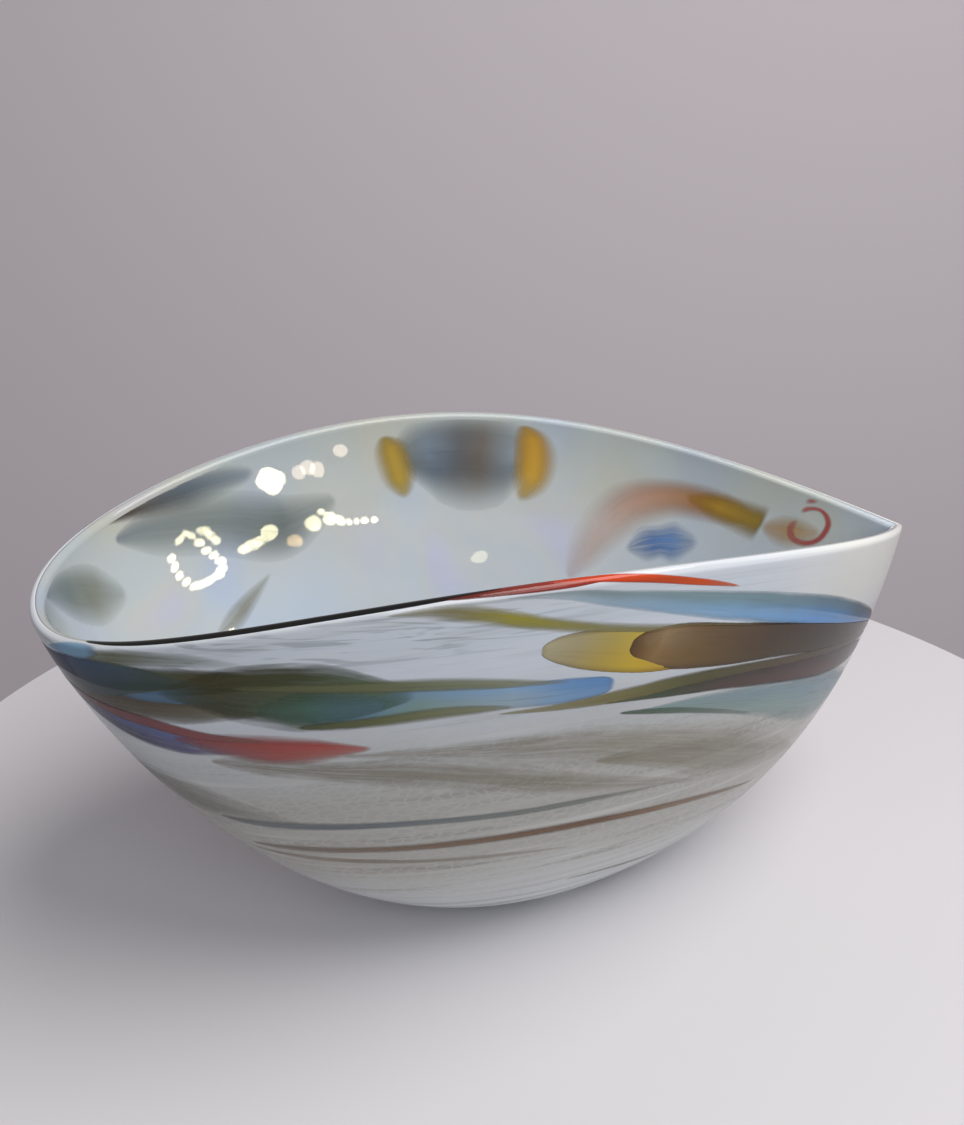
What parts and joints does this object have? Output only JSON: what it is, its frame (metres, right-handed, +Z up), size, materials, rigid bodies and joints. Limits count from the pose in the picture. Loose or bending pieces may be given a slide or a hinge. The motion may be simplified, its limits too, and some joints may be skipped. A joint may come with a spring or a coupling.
{
  "type": "art glass bowl",
  "caption": "Blown opal glass bowl folded to a pointed boat shape, with coloured canes and shards sealed under a clear casing and a ground flat foot.",
  "frame": {"origin": "centre of the ground foot, on the surface the bowl stands on", "axes": "+X from the middle to the pointed tip, +Y across the mouth to the back side, +Z up"},
  "size_m": [0.2454, 0.1372, 0.1191],
  "materials": {
    "opal_liner": "opal white, glossy inside",
    "clear_casing": "clear, glossy, faintly rippled",
    "ground_foot": "clear, ground flat and polished",
    "lip_trail_black": "coloured glass, streaky, under the clear casing",
    "lip_trail_maroon": "coloured glass, streaky, under the clear casing",
    "lip_wedge_vermilion": "coloured glass, streaky, under the clear casing",
    "lip_wisp_olive": "coloured glass, streaky, under the clear casing",
    "tip_wisp_sky": "coloured glass, streaky, under the clear casing",
    "tip_oval_olive": "coloured glass, streaky, under the clear casing",
    "band_navy": "coloured glass, streaky, under the clear casing",
    "band_slate": "coloured glass, streaky, under the clear casing",
    "band_umber": "coloured glass, streaky, under the clear casing",
    "band_moss": "coloured glass, streaky, under the clear casing",
    "band_teal": "coloured glass, streaky, under the clear casing",
    "band_sky": "coloured glass, streaky, under the clear casing",
    "thread_olive_upper": "coloured glass, streaky, under the clear casing",
    "thread_olive_lower": "coloured glass, streaky, under the clear casing",
    "thread_plum": "coloured glass, streaky, under the clear casing",
    "lens_violet": "coloured glass, streaky, under the clear casing",
    "lens_brick": "coloured glass, streaky, under the clear casing",
    "lens_tan": "coloured glass, streaky, under the clear casing",
    "veil_tan_left": "coloured glass, streaky, under the clear casing",
    "veil_tan_right": "coloured glass, streaky, under the clear casing",
    "veil_grey_low": "coloured glass, streaky, under the clear casing",
    "thread_slate": "coloured glass, streaky, under the clear casing",
    "thread_brown": "coloured glass, streaky, under the clear casing",
    "thread_tan_low": "coloured glass, streaky, under the clear casing",
    "thread_faint_low": "coloured glass, streaky, under the clear casing",
    "ribbon_blue": "coloured glass, streaky, under the clear casing",
    "thread_straw": "coloured glass, streaky, under the clear casing",
    "tongue_amber": "coloured glass, streaky, under the clear casing",
    "tongue_brown": "coloured glass, streaky, under the clear casing",
    "streak_moss": "coloured glass, streaky, under the clear casing",
    "streak_plum": "coloured glass, streaky, under the clear casing",
    "wedge_aqua": "coloured glass, streaky, under the clear casing",
    "thread_dark_green": "coloured glass, streaky, under the clear casing",
    "back_umber": "coloured glass, streaky, under the clear casing",
    "back_smoke": "coloured glass, streaky, under the clear casing",
    "back_slate_block": "coloured glass, streaky, under the clear casing",
    "back_amber_left": "coloured glass, streaky, under the clear casing",
    "back_amber_right": "coloured glass, streaky, under the clear casing",
    "back_rose_arch": "coloured glass, streaky, under the clear casing",
    "back_honey_tip": "coloured glass, streaky, under the clear casing",
    "back_blue_star": "coloured glass, streaky, under the clear casing",
    "back_amber_patch": "coloured glass, streaky, under the clear casing",
    "back_red_ring": "coloured glass, streaky, under the clear casing",
    "back_red_fleck": "coloured glass, streaky, under the clear casing",
    "back_blue_smoke": "coloured glass, streaky, under the clear casing",
    "back_feather": "coloured glass, streaky, under the clear casing"
  },
  "bodies": {
    "root": {"opal_liner": "opal_liner", "clear_casing": "clear_casing", "ground_foot": "ground_foot", "lip_trail_black": "lip_trail_black", "lip_trail_maroon": "lip_trail_maroon", "lip_wedge_vermilion": "lip_wedge_vermilion", "lip_wisp_olive": "lip_wisp_olive", "tip_wisp_sky": "tip_wisp_sky", "tip_oval_olive": "tip_oval_olive", "band_navy": "band_navy", "band_slate": "band_slate", "band_umber": "band_umber", "band_moss": "band_moss", "band_teal": "band_teal", "band_sky": "band_sky", "thread_olive_upper": "thread_olive_upper", "thread_olive_lower": "thread_olive_lower", "thread_plum": "thread_plum", "lens_violet": "lens_violet", "lens_brick": "lens_brick", "lens_tan": "lens_tan", "veil_tan_left": "veil_tan_left", "veil_tan_right": "veil_tan_right", "veil_grey_low": "veil_grey_low", "thread_slate": "thread_slate", "thread_brown": "thread_brown", "thread_tan_low": "thread_tan_low", "thread_faint_low": "thread_faint_low", "ribbon_blue": "ribbon_blue", "thread_straw": "thread_straw", "tongue_amber": "tongue_amber", "tongue_brown": "tongue_brown", "streak_moss": "streak_moss", "streak_plum": "streak_plum", "wedge_aqua": "wedge_aqua", "thread_dark_green": "thread_dark_green", "back_umber": "back_umber", "back_smoke": "back_smoke", "back_slate_block": "back_slate_block", "back_amber_left": "back_amber_left", "back_amber_right": "back_amber_right", "back_rose_arch": "back_rose_arch", "back_honey_tip": "back_honey_tip", "back_blue_star": "back_blue_star", "back_amber_patch": "back_amber_patch", "back_red_ring": "back_red_ring", "back_red_fleck": "back_red_fleck", "back_blue_smoke": "back_blue_smoke", "back_feather": "back_feather"}
  },
  "joints": []
}
